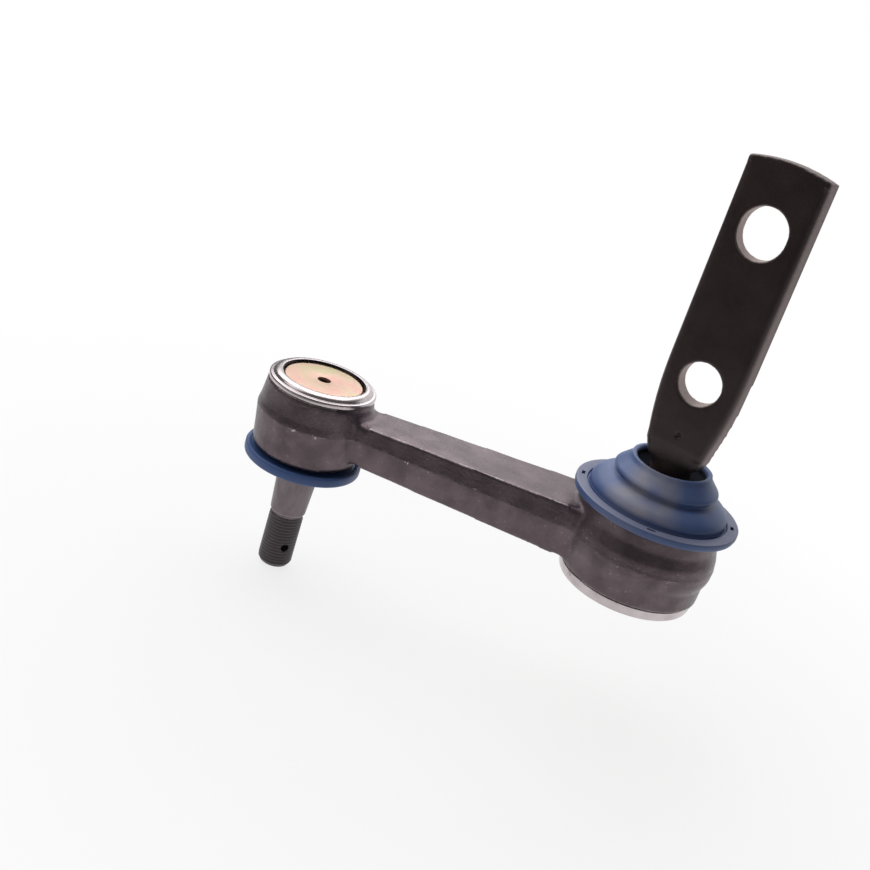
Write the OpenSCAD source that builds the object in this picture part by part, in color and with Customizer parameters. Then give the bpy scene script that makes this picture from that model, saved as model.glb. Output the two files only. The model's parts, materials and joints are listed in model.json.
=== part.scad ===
// Steering idler arm: a forged arm that turns on a bracket and carries a ball stud.
// Lengths are in millimetres. +Z is up along the pivot axis, the stud points down,
// and the origin is the lower bolt hole's centre on the bracket's mounting face.

/* [Arm] */
// Distance between the pivot axis and the stud axis
centres = 138.5; // [115:0.5:180]
// Plan angle between the arm and the bracket's plate at rest
arm_angle = 17.5; // [-60:0.5:60]
// Height of the bar where it meets the stud boss
bar_h_small = 17.2; // [13:0.2:19]
// Height of the bar where it meets the pivot boss
bar_h_big = 22; // [16:0.2:25]
// Width of the bar at the parting line by the stud boss
bar_w_small = 22.2; // [16:0.2:28]
// Width of the bar at the parting line by the pivot boss
bar_w_big = 32.4; // [22:0.2:38]
// Height of the forging's parting line above the middle of the bar
parting_z = 2; // [-2:0.1:4]
// Draft of the forged sides, in degrees
draft = 7.5; // [3:0.5:10]

/* [Stud boss] */
// Diameter at the parting line
stud_boss_d = 47; // [44.5:0.1:54]
// Height of the rolled lip above the middle of the bar
stud_boss_top = 18; // [17:0.1:24]
// Depth of the bottom face below the middle of the bar
stud_boss_bottom = 14; // [13.5:0.1:18]
// Diameter of the turned band under the lip
stud_rim_d = 43.7; // [41.5:0.1:44.3]
// Height of the turned band
stud_rim_h = 3.8; // [2.8:0.1:5]
// Bore that holds the seats
stud_bore_d = 32.4; // [32:0.1:34]
// Thickness of the rolled lip
lip_t = 1.1; // [0.8:0.1:1.6]
// How far the cover's seat steps out from the bore
cover_step = 1.5; // [1:0.1:1.8]
// How far the rolled lip covers the cover's edge
lip_over = 1.3; // [0.8:0.1:2]

/* [Pivot boss] */
// How far the boss stands out from the turned band at the parting line
pivot_flare = 2.6; // [1.8:0.1:6]
// Height of the top face above the middle of the bar
pivot_boss_top = 17; // [16:0.1:22]
// Depth of the rolled lip below the middle of the bar
pivot_boss_bottom = 18; // [17.5:0.1:24]
// Height of the turned band above the lip
pivot_rim_h = 5; // [3.6:0.1:6]
// Wall between the cover's edge and the outside of the turned band
pivot_rim_wall = 3.1; // [2.6:0.1:3.4]
// Thickness of the top wall round the shank's opening
pivot_roof_t = 5; // [3.5:0.1:7]

/* [Covers] */
// Thickness of both pressed cover plates
cover_t = 2.2; // [1.6:0.1:2.6]
// Minor diameter of the tapped grease hole in each cover
grease_hole_d = 5.4; // [4.6:0.1:6]

/* [Bracket] */
// Width of the plate at its mounting face
plate_w = 32; // [28:0.2:34]
// Thickness of the plate
plate_t = 8.6; // [7.6:0.1:12]
// Distance from the lower bolt hole to the top of the plate
plate_top = 82.7; // [74:0.1:110]
// Rise of the plate's curved top edge
top_rise = 2.2; // [1:0.1:5]
// Radius of the plate's tapering lower sides
side_radius = 150; // [130:1:260]
// Height over which those sides draw in, down to the rounded foot
taper_h = 29.6; // [24:0.2:34]
// Diameter of the lower bolt hole
lower_hole_d = 16.3; // [11:0.1:18]
// Width of the upper bolt slot
slot_w = 17.5; // [11:0.1:18]
// End to end length of the upper bolt slot
slot_l = 19; // [18.2:0.1:24]
// Distance between the two bolt holes
hole_spacing = 57.4; // [40:0.1:60]
// Drop from the lower bolt hole to the middle of the bar
arm_drop = 70.6; // [64:0.1:100]
// Distance of the pivot axis in front of the mounting face
axis_setback = 0.6; // [0:0.1:4]
// Diameter of the round shank
shank_d = 15.9; // [13:0.1:16]
// Distance of the foot's sloping facet below the lower bolt hole
facet_drop = 25; // [20:0.5:30]
// Slope of that facet, in degrees
facet_slope = 7; // [2:0.5:12]
// Chamfer round the plate's front, where the forging's edges are well rounded
front_chamfer = 1.3; // [0.4:0.1:2.5]
// Depth of the foot inside the boot's neck
foot_sink = 2.2; // [1:0.1:4.5]

/* [Pivot bearing] */
// How much larger the head's radius is than the opening that the plate passes
head_margin = 2.6; // [1.8:0.1:3]
// Wall of the upper bearing at the head's widest part
bearing_wall = 2.5; // [1.8:0.1:2.9]
// Height of the head above and below its centre
head_half_h = 7.5; // [6:0.1:8]
// Thickness of the thrust washer
thrust_t = 2; // [1.5:0.1:2.6]
// Thickness of the disc spring's steel
disc_t = 1.1; // [0.8:0.1:1.4]
// Rise of the disc spring's cone
disc_rise = 1.3; // [0.8:0.1:1.6]

/* [Pivot boot] */
// Outer diameter of the flange
boot_flange_d = 65; // [62:0.2:80]
// Thickness of the flange
boot_flange_t = 3.4; // [2.6:0.1:5]
// Height of the boot above the pivot boss
boot_h = 19.4; // [18:0.1:23]
// Wall of the boot
boot_wall = 1.8; // [1.4:0.1:2.2]
// Outer diameter of the neck at its top
boot_neck_d = 31.2; // [29:0.2:33]
// Width of each vent notch in the flange
vent_w = 3; // [2:0.1:5]

/* [Ball stud] */
// Diameter of the ball
ball_d = 28.6; // [27.6:0.1:28.8]
// Drop of the ball's centre below the middle of the bar
ball_drop = 2.2; // [1.8:0.1:3.2]
// Height of the stud's head above the ball's centre, as a share of the ball's radius
head_share = 0.45; // [0.38:0.01:0.5]
// Tilt of the stud to either side, in degrees
stud_tilt = 15; // [8:0.5:16]
// Diameter of the stud's neck
neck_d = 17.8; // [16.4:0.1:18]
// Diameter of the thread
thread_d = 14.29; // [12:0.01:14.6]
// Length of the threaded end
thread_l = 24.2; // [20:0.1:32]
// Distance from the ball's centre to the stud's tip
stud_reach = 66.4; // [62:0.1:80]
// Length over which the taper loses 1 mm of diameter
taper_run = 8; // [6:0.1:12]
// Diameter of the cross hole through the threaded end
cross_hole_d = 3.4; // [2.4:0.1:4]
// Distance from the cross hole to the stud's tip
cross_hole_from_tip = 10.6; // [7:0.1:14]
// Direction of the cross hole in plan, in degrees from +X
cross_hole_angle = -31; // [-180:1:180]

/* [Stud seats] */
// Wall of the half ball at its lower rim
half_ball_wall = 1.3; // [1:0.1:1.8]
// Thickness of the pressure cup over the head
cup_t = 2; // [1.4:0.1:2.6]
// Diameter of the preload spring's wire
wire_d = 1.8; // [1.2:0.1:2]
// Turns of the preload spring
spring_turns = 2.25; // [1.75:0.25:2.25]

/* [Stud boot] */
// Outer diameter of the boot's flange
stud_boot_d = 48.2; // [46.4:0.2:58]
// Thickness of the flange
stud_boot_flange_t = 4.4; // [3:0.1:6]
// Length of the boot's collar under its flange
stud_boot_collar = 5; // [3.5:0.1:8]
// Wall of the boot
stud_boot_wall = 1.8; // [1.4:0.1:2.4]

/* [Fits] */
// Radial gap of a spherical or cylindrical bearing surface
running = 0.05; // [0.02:0.01:0.08]
// Gap round a piece that is pressed or dropped into the forging
seat_gap = 0.05; // [0.02:0.01:0.1]
// Gap round the stud's neck at full tilt
tilt_gap = 0.3; // [0.2:0.05:0.4]
// Gap round the plate when it is passed through the pivot boss
pass_gap = 0.8; // [0.5:0.1:1]

/* [Hidden] */
$fn = 96;

// Small overrun of a cut past the face that it opens
over = 1;
// Metal between the pivot's rolled lip and its cover's face
lip_bed = 0.5;
// Height of the upper bearing's lower face above the head's centre
bearing_rise = 0.5;
// Radial gap round the thrust washer, which floats in the bore
washer_gap = 0.2;
// Radial gap round the disc spring, which spreads as it is pressed flat
disc_gap = 1;
// Radial gap round the pressure cup, which slides in its bore
cup_gap = 0.1;
// Bore through the thrust washer and the pressure cup that lets grease pass
grease_bore_r = 3;
// Heights of the parting faces in the stud's seats, from the ball's centre
lower_seat_rise = -0.3;
half_ball_rise = 0.5;
cup_rise = 1.1;

// Pivot boss and bearing
pass_r = sqrt(pow(plate_w / 2, 2) + pow(plate_t / 2, 2)) + pass_gap;
head_r = pass_r + head_margin;
pivot_bore_r = head_r + bearing_wall;
pivot_cover_r = pivot_bore_r + cover_step;
pivot_rim_r = pivot_cover_r + pivot_rim_wall;
pivot_roof_z = pivot_boss_top - pivot_roof_t;
pivot_lip_z = -pivot_boss_bottom;
pivot_cover_z = pivot_lip_z + lip_t + lip_bed;
pivot_cover_top = pivot_cover_z + cover_t;
thrust_z = pivot_cover_top + disc_t + disc_rise;
thrust_top = thrust_z + thrust_t;
head_z = thrust_top + running + head_half_h;

// Stud boss and seats
stud_bore_r = stud_bore_d / 2;
stud_cover_r = stud_bore_r + cover_step;
stud_cover_top = stud_boss_top - lip_t;
stud_cover_z = stud_cover_top - cover_t;
ball_r = ball_d / 2;
ball_z = -ball_drop;
neck_r = neck_d / 2;
seat_edge = stud_tilt + asin((neck_r + tilt_gap) / ball_r);
seat_z = ball_z - ball_r * cos(seat_edge);
mouth_r = (stud_boss_bottom + ball_z) * tan(stud_tilt) + neck_r / cos(stud_tilt) + tilt_gap;
half_ball_top = ball_z + half_ball_rise;
head_top = ball_z + head_share * ball_r;
cup_roof_z = ball_z + ball_r * cos(acos(head_share) - stud_tilt) + tilt_gap;
cup_top = cup_roof_z + cup_t;

// Stud below the boss
tip_z = ball_z - stud_reach;
thread_z = tip_z + thread_l;
taper_small_r = thread_d / 2 + 0.25;
neck_z = thread_z + 1.6 + (neck_r - taper_small_r) * 2 * taper_run;

// Plate, measured in the pivot's own frame
plate_back = axis_setback;
plate_front = axis_setback - plate_t;
side_draft = plate_t * tan(draft);
plate_foot_r = sqrt(pow(side_radius, 2) - pow(taper_h, 2)) - side_radius + plate_w / 2;
plate_foot_z = pivot_boss_top + boot_h - foot_sink + plate_foot_r - side_draft;
side_top = plate_foot_z + taper_h;

function arc(x, z, r, from, to, steps = 8) =
    [for (i = [0:steps]) [x + r * cos(from + (to - from) * i / steps),
                          z + r * sin(from + (to - from) * i / steps)]];

// Point at t on the smooth curve through b and c, with a and d as their neighbours
function smooth_point(a, b, c, d, t) =
    0.5 * (2 * b + (c - a) * t + (2 * a - 5 * b + 4 * c - d) * t * t
           + (3 * b - a - 3 * c + d) * t * t * t);

function smooth(pts, steps = 4) =
    let (last = len(pts) - 1)
    concat([for (i = [0:last - 1]) for (s = [0:steps - 1])
               smooth_point(pts[max(i - 1, 0)], pts[i], pts[i + 1], pts[min(i + 2, last)], s / steps)],
           [pts[last]]);

function reversed(pts) = [for (i = [len(pts) - 1:-1:0]) pts[i]];

// A curve's points moved sideways by d, to the right of its direction
function beside(pts, d) =
    [for (i = [0:len(pts) - 1])
        let (v = pts[min(i + 1, len(pts) - 1)] - pts[max(i - 1, 0)])
        pts[i] + d * [v[1], -v[0]] / norm(v)];

// The pivot's frame: the pivot axis at the height of the middle of the bar
module at_pivot() {
    translate([0, -axis_setback, -arm_drop]) children();
}

module on_arm() {
    at_pivot() rotate([0, 0, arm_angle]) children();
}

module at_stud() {
    on_arm() translate([-centres, 0, 0]) children();
}

// Arm forging

module stud_boss() {
    r_part = stud_boss_d / 2;
    r_rim = stud_rim_d / 2;
    z_rim = stud_boss_top - stud_rim_h;
    r_foot = r_part - (stud_boss_bottom + parting_z) * tan(draft) * 0.8;
    edge = 1.5;
    rotate_extrude()
        polygon(concat(
            [[0, -stud_boss_bottom], [r_foot - 0.6, -stud_boss_bottom],
             [r_foot, 0.6 - stud_boss_bottom], [r_part, parting_z],
             [r_part, parting_z + 1], [r_part - 0.6, parting_z + 3], [r_rim, z_rim]],
            arc(r_rim - edge, stud_boss_top - edge, edge, 0, 90),
            [[0, stud_boss_top]]));
}

module pivot_boss() {
    r_part = pivot_rim_r + pivot_flare;
    r_low = pivot_rim_r + 1;
    z_rim = pivot_lip_z + pivot_rim_h;
    edge = 2.2;
    rotate_extrude()
        polygon(concat(
            [[0, pivot_lip_z]],
            arc(pivot_rim_r - edge, pivot_lip_z + edge, edge, -90, 0),
            [[pivot_rim_r, z_rim], [r_low, z_rim + 0.5], [r_low + 0.2, parting_z - 7],
             [r_part - 0.5, parting_z - 5], [r_part, parting_z - 3], [r_part, parting_z],
             [r_part - 0.5, parting_z + 4],
             [r_part - 1.9, parting_z + 8.5], [r_part - 2.3, pivot_boss_top - 1],
             [r_part - 3.3, pivot_boss_top], [0, pivot_boss_top]]));
}

// One upright section of the bar, as three cubes thin enough to hull
module bar_section(x, w, h) {
    top = w - 2 * (h / 2 - parting_z) * tan(draft);
    foot = w - 2 * (h / 2 + parting_z) * tan(draft);
    thin = 0.02;
    translate([x - thin / 2, -top / 2, h / 2 - thin]) cube([thin, top, thin]);
    translate([x - thin / 2, -w / 2, parting_z]) cube([thin, w, thin]);
    translate([x - thin / 2, -foot / 2, -h / 2]) cube([thin, foot, thin]);
}

module bar() {
    hull() {
        bar_section(-centres + stud_bore_r - 2, bar_w_small, bar_h_small);
        bar_section(-pivot_bore_r + 4, bar_w_big, bar_h_big);
    }
}

module stud_bore() {
    rotate_extrude()
        polygon([[0, -stud_boss_bottom - over], [mouth_r, -stud_boss_bottom - over],
                 [mouth_r, seat_z], [stud_bore_r, seat_z], [stud_bore_r, stud_cover_z],
                 [stud_cover_r, stud_cover_z], [stud_cover_r, stud_cover_top],
                 [stud_cover_r - lip_over, stud_cover_top + 0.1],
                 [stud_cover_r - lip_over + 0.25, stud_boss_top + over], [0, stud_boss_top + over]]);
}

module pivot_bore() {
    lip_r = pivot_cover_r - lip_over - 0.9;
    rotate_extrude()
        polygon([[0, pivot_lip_z - over], [lip_r + 0.3, pivot_lip_z - over],
                 [lip_r, pivot_cover_z - 0.1], [pivot_cover_r, pivot_cover_z],
                 [pivot_cover_r, pivot_cover_top], [pivot_bore_r, pivot_cover_top],
                 [pivot_bore_r, pivot_roof_z], [pass_r, pivot_roof_z],
                 [pass_r, pivot_boss_top + over], [0, pivot_boss_top + over]]);
}

module arm_forging() {
    color("#2f2a2c")
        on_arm()
            difference() {
                union() {
                    bar();
                    translate([-centres, 0, 0]) stud_boss();
                    pivot_boss();
                }
                translate([-centres, 0, 0]) stud_bore();
                pivot_bore();
            }
}

// Bracket

// The plate's straight part, drafted so that its mounting face is the widest
module plate_blank() {
    half = plate_w / 2;
    front = half - side_draft;
    y = plate_front + front_chamfer;
    translate([0, 0, side_top])
        linear_extrude(arm_drop + plate_top - side_top)
            polygon([[-half, plate_back], [half, plate_back], [front, y],
                     [front - front_chamfer, plate_front],
                     [front_chamfer - front, plate_front], [-front, y]]);
}

// A cone that is drafted like the plate's side and chamfered at its front
module drafted_cone(r, sides) {
    low = plate_t - front_chamfer;
    rotate([90, 0, 0]) {
        cylinder(h = low, r1 = r, r2 = r - side_draft, $fn = sides);
        translate([0, 0, low])
            cylinder(h = front_chamfer, r1 = r - side_draft, r2 = r - side_draft - front_chamfer, $fn = sides);
    }
}

// One tapering lower side: a wide cone whose rim is tangent to the straight side
module side_cone(side) {
    reach = side_radius - plate_w / 2;
    translate([-side * reach, plate_back, side_top])
        drafted_cone(side_radius, 360);
}

module plate_lower() {
    intersection() {
        side_cone(1);
        side_cone(-1);
        translate([-plate_w, plate_front - over, plate_foot_z])
            cube([2 * plate_w, plate_t + 2 * over, side_top - plate_foot_z]);
    }
}

module plate_foot() {
    translate([0, plate_back, plate_foot_z])
        drafted_cone(plate_foot_r, 96);
}

// Trims the plate's top to a long arc
module top_arc() {
    half = plate_w / 2;
    r = (half * half + top_rise * top_rise) / (2 * top_rise);
    z = arm_drop + plate_top - r;
    difference() {
        translate([-plate_w, plate_front - over, arm_drop + plate_top - 2 * top_rise])
            cube([2 * plate_w, plate_t + 2 * over, 3 * top_rise]);
        translate([0, plate_back + 2 * over, z])
            rotate([90, 0, 0]) cylinder(h = plate_t + 4 * over, r = r, $fn = 360);
    }
}

module bolt_holes() {
    translate([0, plate_back + over, arm_drop]) rotate([90, 0, 0])
        cylinder(h = plate_t + 2 * over, d = lower_hole_d);
    translate([0, plate_back + over, arm_drop + hole_spacing]) rotate([90, 0, 0])
        linear_extrude(plate_t + 2 * over) {
            for (s = [-1, 1])
                translate([0, s * (slot_l - slot_w) / 2]) circle(d = slot_w);
            square([slot_w, slot_l - slot_w], center = true);
        }
}

// The shank and its head, with a fairing that dies out up the plate's back
module shank() {
    r = shank_d / 2;
    z_fair = plate_foot_z - plate_foot_r + 2.5;
    rotate_extrude()
        difference() {
            union() {
                intersection() {
                    translate([0, head_z]) circle(head_r);
                    translate([0, head_z - head_half_h])
                        square([head_r + over, 2 * head_half_h]);
                }
                polygon([[0, head_z], [r + 4, head_z + head_half_h - 1],
                         [r + 3.4, head_z + head_half_h + 1], [r + 1, head_z + head_half_h + 2.6],
                         [r, head_z + head_half_h + 5], [r, z_fair],
                         [r - 0.8, z_fair + 5], [r - 3, z_fair + 12], [0, z_fair + 19]]);
            }
            translate([-2 * head_r, head_z - 2 * head_r]) square([2 * head_r, 4 * plate_top]);
        }
}

// Slopes the foot's front back towards the shank
module foot_facet() {
    translate([-plate_w, plate_front, arm_drop - facet_drop])
        rotate([facet_slope, 0, 0])
            translate([0, -plate_t, -plate_foot_z]) cube([2 * plate_w, plate_t, plate_foot_z]);
}

module bracket() {
    color("#2b2526")
        at_pivot()
            difference() {
                union() {
                    plate_blank();
                    difference() {
                        union() {
                            plate_lower();
                            plate_foot();
                        }
                        foot_facet();
                    }
                    shank();
                }
                top_arc();
                bolt_holes();
            }
}

// Pivot bearing

module pivot_upper_bearing() {
    r = pivot_bore_r - seat_gap;
    color("#8a7a5c")
        at_pivot()
            difference() {
                rotate_extrude()
                    translate([pass_r, head_z + bearing_rise])
                        square([r - pass_r, pivot_roof_z - head_z - bearing_rise]);
                translate([0, 0, head_z]) sphere(head_r + running);
            }
}

module pivot_thrust_washer() {
    r = pivot_bore_r - washer_gap;
    r_in = grease_bore_r;
    color("#8a7a5c")
        at_pivot()
            rotate_extrude()
                polygon([[r_in, thrust_z], [r - 0.6, thrust_z], [r, thrust_z + 0.6],
                         [r, thrust_top], [r_in + 0.8, thrust_top], [r_in, thrust_top - 0.8]]);
}

module pivot_disc_spring() {
    r_out = pivot_bore_r - disc_gap;
    r_in = 0.5 * pivot_bore_r;
    color("#555555")
        at_pivot()
            rotate_extrude()
                polygon([[r_out, pivot_cover_top], [r_out, pivot_cover_top + disc_t],
                         [r_in, thrust_z], [r_in, thrust_z - disc_t]]);
}

module cover_plate(r) {
    rotate_extrude()
        polygon([[grease_hole_d / 2, 0], [r - 0.5, 0], [r, 0.5], [r, cover_t],
                 [grease_hole_d / 2, cover_t]]);
}

module pivot_cover() {
    color("#d8c29a")
        at_pivot()
            translate([0, 0, pivot_cover_z]) cover_plate(pivot_cover_r - seat_gap);
}

// Pivot boot: flange, low cone, one convolution and a straight neck round a sealing bead

// Shares of the bellows' narrowing and height: a low cone, a valley, and one convolution under the neck
bellows = [[0, 0], [0.12, 0.13], [0.29, 0.22], [0.475, 0.28], [0.64, 0.33], [0.68, 0.39],
           [0.63, 0.47], [0.585, 0.55], [0.62, 0.63], [0.82, 0.79], [0.95, 0.91], [1, 1]];

function boot_outline(r_base, r_neck, h) =
    smooth([for (b = bellows) [r_base - b[0] * (r_base - r_neck), b[1] * h]]);

module pivot_boot() {
    z = pivot_boss_top;
    r_flange = boot_flange_d / 2;
    r_base = r_flange - 5.1;
    r_neck = boot_neck_d / 2;
    r_well = r_neck - boot_wall;
    r_bead = shank_d / 2 + running;
    h = boot_h - boot_flange_t - 1.1;
    top = boot_flange_t + 1.1;
    outer = [for (p = boot_outline(r_base, r_neck, h)) p + [0, z + top]];
    inner = beside(outer, -boot_wall);
    z_bead = z + boot_h - 5.6;
    color("#42597c")
        at_pivot()
            difference() {
                rotate_extrude()
                    polygon(concat(
                        [[pass_r - seat_gap, z], [r_flange - 0.6, z], [r_flange, z + 0.6],
                         [r_flange, z + boot_flange_t - 0.6], [r_flange - 0.6, z + boot_flange_t],
                         [r_base + 0.6, z + boot_flange_t], [r_base + 0.5, z + boot_flange_t - 0.6],
                         [r_base, z + boot_flange_t - 0.6]],
                        outer,
                        [[r_neck - 0.6, z + boot_h + 0.2], [r_well, z + boot_h - 0.3],
                         [r_well - 0.4, z_bead + 2], [r_bead + 0.6, z_bead + 0.8], [r_bead, z_bead + 0.3],
                         [r_bead, z_bead - 0.9], [r_bead + 0.6, z_bead - 1.4]],
                        [for (p = reversed(inner)) if (p[1] < z_bead - 0.6) p],
                        [[pass_r - seat_gap - 2, z + boot_flange_t], [pass_r - seat_gap - 2, z - 3],
                         [pass_r - seat_gap, z - 3]]));
                for (a = [0:90:270])
                    rotate([0, 0, arm_angle + a])
                        translate([r_flange - 3.1, -vent_w / 2, z + boot_flange_t - 1.1])
                            cube([1.1, vent_w, 3]);
            }
}

// Stud socket

module ball_stud() {
    r = thread_d / 2;
    color("#6a6265")
        at_stud()
            difference() {
                union() {
                    intersection() {
                        translate([0, 0, ball_z]) sphere(ball_r);
                        translate([0, 0, half_ball_top + running])
                            cylinder(h = head_top - half_ball_top - running, r = 2 * ball_r);
                    }
                    rotate_extrude()
                        polygon([[0, tip_z], [r - 2.6, tip_z], [r - 1.2, tip_z + 0.7], [r, tip_z + 2.6],
                                 [r, thread_z - 1.2], [r - 0.5, thread_z - 0.7], [r - 0.5, thread_z],
                                 [taper_small_r, thread_z + 1.6], [neck_r, neck_z],
                                 [neck_r, half_ball_top + 1], [0, half_ball_top + 1]]);
                }
                translate([0, 0, tip_z + cross_hole_from_tip])
                    rotate([0, 0, cross_hole_angle - arm_angle])
                        rotate([0, 90, 0]) cylinder(h = 3 * thread_d, d = cross_hole_d, center = true);
            }
}

module stud_half_ball() {
    bore = neck_r + running;
    rim = asin((bore + half_ball_wall) / ball_r);
    z_rim = ball_z - ball_r * cos(rim);
    color("#b9a46a")
        at_stud()
            difference() {
                intersection() {
                    translate([0, 0, ball_z]) sphere(ball_r);
                    translate([0, 0, z_rim]) cylinder(h = half_ball_top - z_rim, r = 2 * ball_r);
                }
                translate([0, 0, z_rim - over])
                    cylinder(h = half_ball_top - z_rim + 2 * over, r = bore);
            }
}

module stud_lower_seat() {
    color("#8a7a5c")
        at_stud()
            difference() {
                translate([0, 0, seat_z])
                    cylinder(h = ball_z + lower_seat_rise - seat_z, r = stud_bore_r - seat_gap);
                translate([0, 0, ball_z]) sphere(ball_r + running);
            }
}

module stud_pressure_cup() {
    low = ball_z + cup_rise;
    r_out = stud_bore_r - cup_gap;
    color("#8a7a5c")
        at_stud()
            difference() {
                rotate_extrude()
                    polygon([[grease_bore_r, low], [r_out, low], [r_out, cup_top - 2.5],
                             [r_out - 2.4, cup_top], [grease_bore_r, cup_top]]);
                intersection() {
                    translate([0, 0, ball_z]) sphere(ball_r + running);
                    translate([0, 0, low - over])
                        cylinder(h = cup_roof_z - low + over, r = 2 * ball_r);
                }
            }
}

// Flat-ended coil that is swept along its own helix
module stud_preload_spring() {
    coil_r = 0.62 * stud_bore_r;
    sides = 10;
    steps = 20 * spring_turns;
    low = cup_top + wire_d / 2;
    high = stud_cover_z - wire_d / 2;
    rings = [for (i = [0:steps]) let (a = 360 * spring_turns * i / steps,
                                      t = i / steps,
                                      ease = t * t * (3 - 2 * t))
                for (k = [0:sides - 1]) let (b = 360 * k / sides)
                    [(coil_r + wire_d / 2 * cos(b)) * cos(a), (coil_r + wire_d / 2 * cos(b)) * sin(a),
                     low + (high - low) * ease + wire_d / 2 * sin(b)]];
    sheets = [for (i = [0:steps - 1]) for (k = [0:sides - 1])
                 let (n = (k + 1) % sides)
                 [i * sides + k, i * sides + n, (i + 1) * sides + n, (i + 1) * sides + k]];
    color("#777777")
        at_stud()
            polyhedron(points = rings,
                       faces = concat([[for (k = [sides - 1:-1:0]) k]], sheets,
                                      [[for (k = [0:sides - 1]) steps * sides + k]]));
}

module stud_cover() {
    color("#e2c79c")
        at_stud()
            translate([0, 0, stud_cover_top]) mirror([0, 0, 1]) cover_plate(stud_cover_r - seat_gap);
}

module stud_boot() {
    r_out = stud_boot_d / 2;
    z_top = -stud_boss_bottom;
    z_low = z_top - 1 - stud_boot_flange_t;
    z_collar = z_low - stud_boot_collar;
    r_grip = neck_r + running;
    r_web = mouth_r + 2.5;
    color("#44597f")
        at_stud()
            rotate_extrude()
                polygon([[mouth_r + 0.5, z_top], [r_web + 2, z_top], [r_web + 2.6, z_top - 1.6],
                         [r_out - 1.6, z_top - 1.6], [r_out - 0.8, z_top - 1], [r_out, z_top - 1.8],
                         [r_out, z_low + 0.8], [r_out - 0.8, z_low], [r_web + 1.4, z_low],
                         [r_grip + stud_boot_wall + 1, z_low - 0.5 * stud_boot_collar],
                         [r_grip + stud_boot_wall, z_collar], [r_grip, z_collar],
                         [r_grip, z_collar + 2], [r_grip + 0.9, z_collar + 2.8],
                         [r_grip + 1.2, z_low + 0.6], [r_web - 1.2, z_low + stud_boot_wall + 0.4],
                         [mouth_r + 0.5, z_top - 2]]);
}

bracket();
arm_forging();
pivot_upper_bearing();
pivot_thrust_washer();
pivot_disc_spring();
pivot_cover();
pivot_boot();
ball_stud();
stud_half_ball();
stud_lower_seat();
stud_pressure_cup();
stud_preload_spring();
stud_cover();
stud_boot();
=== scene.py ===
"""Dresses the steering idler arm: the looks of each piece, built around its CAD frame.

Lengths in the settings are in metres, and outlines are in millimetres.
"""

import json
import math

import bmesh
import bpy
from bpy.props import FloatProperty, FloatVectorProperty, IntProperty, PointerProperty
from mathutils import Matrix, Quaternion, Vector, noise
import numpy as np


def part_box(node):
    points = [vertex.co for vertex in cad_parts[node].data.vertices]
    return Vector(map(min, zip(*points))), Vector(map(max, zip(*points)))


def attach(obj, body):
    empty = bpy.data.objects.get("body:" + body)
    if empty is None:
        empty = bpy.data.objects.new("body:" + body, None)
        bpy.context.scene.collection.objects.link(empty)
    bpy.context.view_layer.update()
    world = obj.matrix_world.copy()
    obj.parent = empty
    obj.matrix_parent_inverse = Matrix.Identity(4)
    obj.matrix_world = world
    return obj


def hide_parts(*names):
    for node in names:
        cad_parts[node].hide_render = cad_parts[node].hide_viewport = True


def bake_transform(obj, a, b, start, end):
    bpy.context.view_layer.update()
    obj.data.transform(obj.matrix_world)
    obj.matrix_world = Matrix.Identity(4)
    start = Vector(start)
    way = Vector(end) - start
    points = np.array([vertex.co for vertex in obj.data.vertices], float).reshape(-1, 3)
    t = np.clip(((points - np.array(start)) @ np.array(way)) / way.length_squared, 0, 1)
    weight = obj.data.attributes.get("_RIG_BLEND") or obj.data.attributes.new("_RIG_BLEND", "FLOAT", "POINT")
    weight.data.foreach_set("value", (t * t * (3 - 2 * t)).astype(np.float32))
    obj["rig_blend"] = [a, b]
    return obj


bl_info = {
    "name": "Idler Arm",
    "version": (1, 0, 0),
    "blender": (4, 2, 0),
    "location": "3D View > Sidebar > Idler Arm",
    "description": "Dresses a steering idler arm and sets its studio",
    "category": "Object",
}

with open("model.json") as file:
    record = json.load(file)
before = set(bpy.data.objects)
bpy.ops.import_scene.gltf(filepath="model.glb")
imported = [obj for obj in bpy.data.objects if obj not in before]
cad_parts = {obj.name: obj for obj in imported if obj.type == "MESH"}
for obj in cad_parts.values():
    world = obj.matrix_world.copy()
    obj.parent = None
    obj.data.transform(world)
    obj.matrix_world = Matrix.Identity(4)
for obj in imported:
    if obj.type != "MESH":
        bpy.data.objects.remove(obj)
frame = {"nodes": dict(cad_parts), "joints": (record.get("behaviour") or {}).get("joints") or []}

MM = 0.001
UP = Vector((0, 0, 1))


def middle(node):
    """The middle of a CAD node's box."""
    low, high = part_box(node)
    return (low + high) / 2


# Where the arm's two axes stand, and the heights that its pieces hang on
PIVOT = middle("pivot_cover")
STUD = middle("stud_cover")
PIVOT_LIP_Z, STUD_LIP_Z = (corner.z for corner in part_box("arm_forging"))
STUD_TIP_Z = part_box("ball_stud")[0].z
STUD_HEAD_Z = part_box("ball_stud")[1].z
BOOT_TOP_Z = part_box("pivot_boot")[1].z
STUD_BOOT_LOW_Z, STUD_BOOT_TOP_Z = (corner.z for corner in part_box("stud_boot"))
BAR_MIDDLE_Z = (PIVOT_LIP_Z + STUD_LIP_Z) / 2
BOOT_BASE_Z = BOOT_TOP_Z - 19.6 * MM
BOOT_FLANGE_TOP_Z = BOOT_TOP_Z - 16.5 * MM
PLATE_FRONT_Y = -8.6 * MM

# How far along the arm each boss reaches from its axis, the radius at which the bar meets it, and
# the radius inside which it is hollow
PIVOT_REACH, PIVOT_BOSS_R, PIVOT_HOLLOW_R = 0.035, 0.0285, 0.0235
STUD_REACH, STUD_BOSS_R, STUD_HOLLOW_R = 0.03, 0.0225, 0.0175

# Vertices closer than WELD are one, and a cut passes through those closer than ON_CUT
WELD, ON_CUT = 1e-6, 1e-7


def pivot_at(z):
    return Vector((PIVOT.x, PIVOT.y, z))


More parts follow.
